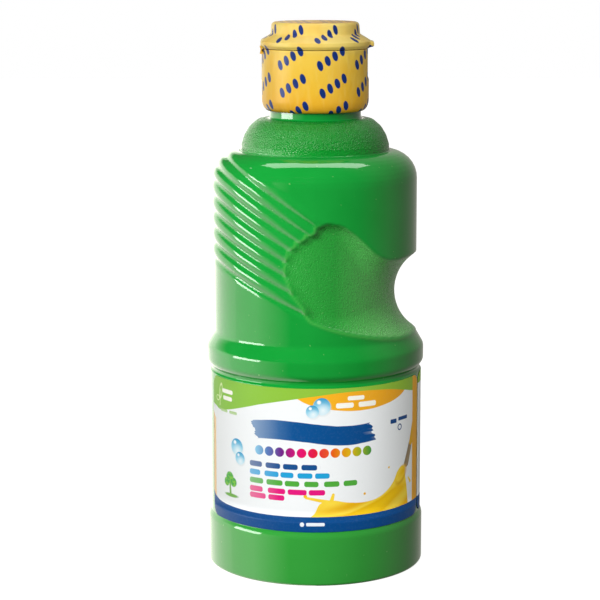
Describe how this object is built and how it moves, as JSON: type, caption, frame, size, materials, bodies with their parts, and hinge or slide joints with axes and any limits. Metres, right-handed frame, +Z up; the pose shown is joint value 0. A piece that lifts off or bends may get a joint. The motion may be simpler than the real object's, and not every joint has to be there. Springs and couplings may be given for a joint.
{
  "type": "squeeze paint bottle",
  "caption": "Squeeze bottle of green school paint with a ribbed side, a finger grip, labels and a screw-on flip-top cap in a printed gold shrink band.",
  "frame": {"origin": "centre of the foot ring, in the plane the bottle stands on", "axes": "+Z up along the bottle's axis, -Y the way the front label faces, +X the finger grip and the lid's thumb tab"},
  "size_m": [0.06, 0.06, 0.1498],
  "materials": {
    "bottle_pet": "gloss",
    "green_paint": "satin",
    "front_label_stock": "satin",
    "back_label_stock": "satin",
    "cap_plastic": "satin",
    "lid_plastic": "satin",
    "gasket_foam": "matte",
    "gold_film": "gloss"
  },
  "bodies": {
    "bottle": {"bottle": "bottle_pet", "paint_fill": "green_paint", "front_label": "front_label_stock", "back_label": "back_label_stock"},
    "gasket": {"rim_gasket": "gasket_foam"},
    "cap": {"cap_base": "cap_plastic", "hinge_web": "cap_plastic", "band_lower": "gold_film"},
    "lid": {"flip_lid": "lid_plastic", "band_upper": "gold_film"}
  },
  "joints": [
    {"name": "cap_lift", "type": "slide", "parent": "bottle", "child": "gasket", "axis": [0, 0, 1], "range_m": [0, 0.0063]},
    {"name": "cap_turn", "type": "hinge", "parent": "gasket", "child": "cap", "pos_m": [0, 0, 0.14], "axis": [0, 0, 1], "range_deg": [0, 540]},
    {"name": "lid_flip", "type": "hinge", "parent": "cap", "child": "lid", "pos_m": [-0.0149, 0, 0.1427], "axis": [0, -1, 0], "range_deg": [0, 160]}
  ],
  "couplings": [
    {"joint": "cap_lift", "follows": "cap_turn", "m_per_rad": 0.00066845}
  ]
}
